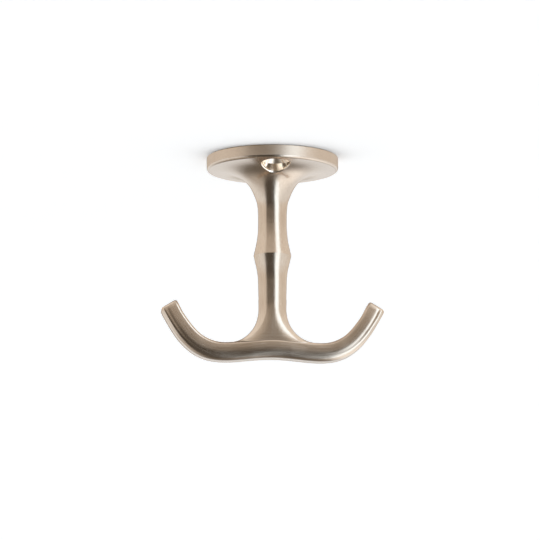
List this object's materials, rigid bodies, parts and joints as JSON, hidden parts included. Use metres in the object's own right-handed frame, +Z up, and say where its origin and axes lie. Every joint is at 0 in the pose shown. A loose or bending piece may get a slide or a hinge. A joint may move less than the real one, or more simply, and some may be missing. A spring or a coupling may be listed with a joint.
{
  "type": "anchor hook",
  "caption": "Anchor-shaped hanging hook: a round screw-on flange, a flared stem with a ridged knuckle, and an upturned arm on each side.",
  "frame": {"origin": "middle of the flange's flat mounting face", "axes": "+Z points up out of the mounting face into the surface that carries the hook, X runs along the arms, and Y runs along the line of the screw holes"},
  "size_m": [0.0638, 0.038, 0.0593],
  "materials": {
    "satin_nickel": "cast metal, brushed and plated in warm satin nickel, with bright countersinks"
  },
  "bodies": {
    "root": {"anchor_hook": "satin_nickel"}
  },
  "joints": []
}
